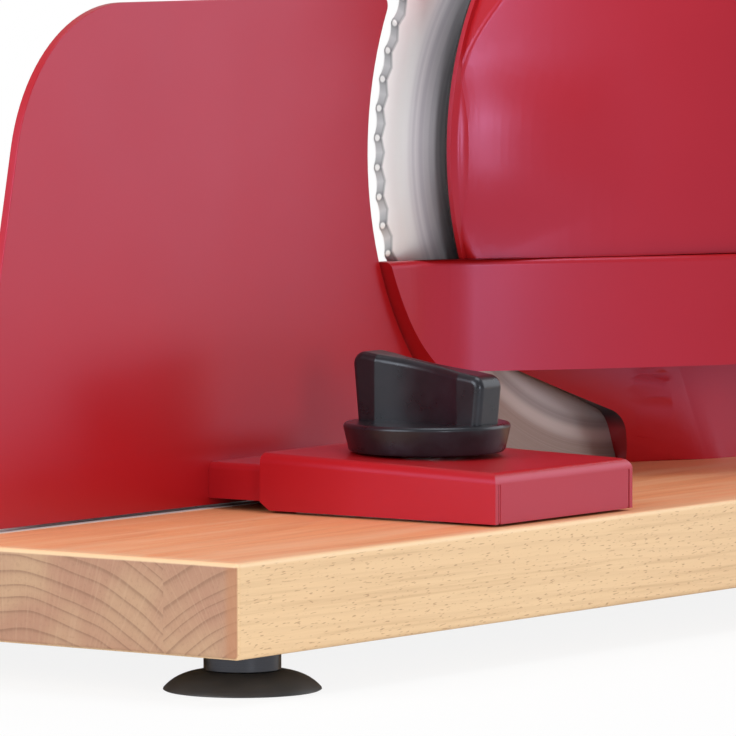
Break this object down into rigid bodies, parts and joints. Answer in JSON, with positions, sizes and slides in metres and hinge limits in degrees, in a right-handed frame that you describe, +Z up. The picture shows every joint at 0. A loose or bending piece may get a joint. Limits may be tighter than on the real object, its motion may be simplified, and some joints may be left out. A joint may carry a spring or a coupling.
{
  "type": "hand crank bread slicer",
  "caption": "Hand crank bread slicer on a beech board: round wave-toothed blade behind a red gear case, adjustable stop plate with a clamp knob, sliding bread carriage.",
  "frame": {"origin": "on the table under the middle of the room the machine takes up, crank hanging down", "axes": "+X along the board away from the stop plate's end, +Y from the crank side to the bread side, +Z up"},
  "size_m": [0.4, 0.2958, 0.2226],
  "materials": {
    "beech": "oiled satin beech, glued staves",
    "beech_grip": "clear lacquered turned beech",
    "rubber": "matt black",
    "dark_steel": "dark burnished, glossy",
    "steel": "bright turned",
    "bright_sheet": "sheet, polished in rings",
    "zinc": "bright zinc plated",
    "chrome": "bright plated",
    "blade_steel": "ground, concentric polish",
    "red_lacquer": "deep gloss red stove enamel",
    "black_lacquer": "satin black",
    "aluminium": "satin strip",
    "black_plastic": "satin black",
    "pale_plastic": "smooth, off white",
    "bronze": "sintered bronze"
  },
  "bodies": {
    "base": {"base_board": "beech", "suction_cups": "rubber", "foot_stubs": "dark_steel", "foot_screws": "zinc", "base_strip": "aluminium", "base_strip_screws": "zinc", "stand": "red_lacquer", "stand_bolts": "zinc", "pedestal_shield": "bright_sheet", "shield_screws": "zinc", "gear_cover": "red_lacquer", "gear_back_plate": "black_lacquer", "cover_screws": "zinc", "back_plate_screws": "zinc", "spindle_bushes": "bronze", "crank_bushes": "bronze", "slider_block": "red_lacquer", "slide_guide": "pale_plastic", "slide_guide_screws": "zinc", "clamp_bolt": "zinc", "clamp_washer": "zinc", "guide_rail": "aluminium", "rail_screws": "zinc"},
    "knob": {"clamp_knob": "black_plastic", "knob_insert": "bronze"},
    "stop": {"stop_plate": "red_lacquer", "slide_arm": "red_lacquer", "arm_rivets": "steel"},
    "cutter": {"blade": "blade_steel", "blade_screws": "steel", "blade_spindle": "steel", "blade_pinion": "steel", "pinion_pin": "steel"},
    "crank": {"crank_shaft": "steel", "crank_gear": "steel", "crank_gear_pin": "steel", "crank_hub_pin": "steel", "crank_arm": "chrome", "crank_nut": "chrome", "grip_pin": "chrome"},
    "handgrip": {"grip": "beech_grip", "grip_ferrule": "chrome"},
    "carriage": {"carriage_table": "red_lacquer", "push_wall": "red_lacquer", "carriage_rivets": "steel", "carriage_glides": "pale_plastic", "guide_shoes": "pale_plastic"}
  },
  "joints": [
    {"name": "crank_turn", "type": "hinge", "parent": "base", "child": "crank", "pos_m": [0.12385, -0.04505, 0.17515], "axis": [0, 1, 0], "continuous": true},
    {"name": "blade_spin", "type": "hinge", "parent": "base", "child": "cutter", "pos_m": [0.0906, 0.04495, 0.1326], "axis": [0, 1, 0], "continuous": true},
    {"name": "grip_spin", "type": "hinge", "parent": "crank", "child": "handgrip", "pos_m": [0.12385, -0.09505, 0.06515], "axis": [0, 1, 0], "continuous": true},
    {"name": "thickness_slide", "type": "slide", "parent": "base", "child": "stop", "axis": [0, -1, 0], "range_m": [0, 0.0135]},
    {"name": "knob_turn", "type": "hinge", "parent": "base", "child": "knob", "pos_m": [-0.0457, -0.01075, 0.05351], "axis": [0, 0, 1], "range_deg": [0, 180]},
    {"name": "carriage_slide", "type": "slide", "parent": "base", "child": "carriage", "axis": [1, 0, 0], "range_m": [-0.034, 0.215]}
  ],
  "couplings": [
    {"joint": "blade_spin", "follows": "crank_turn", "ratio": -1.4545}
  ]
}
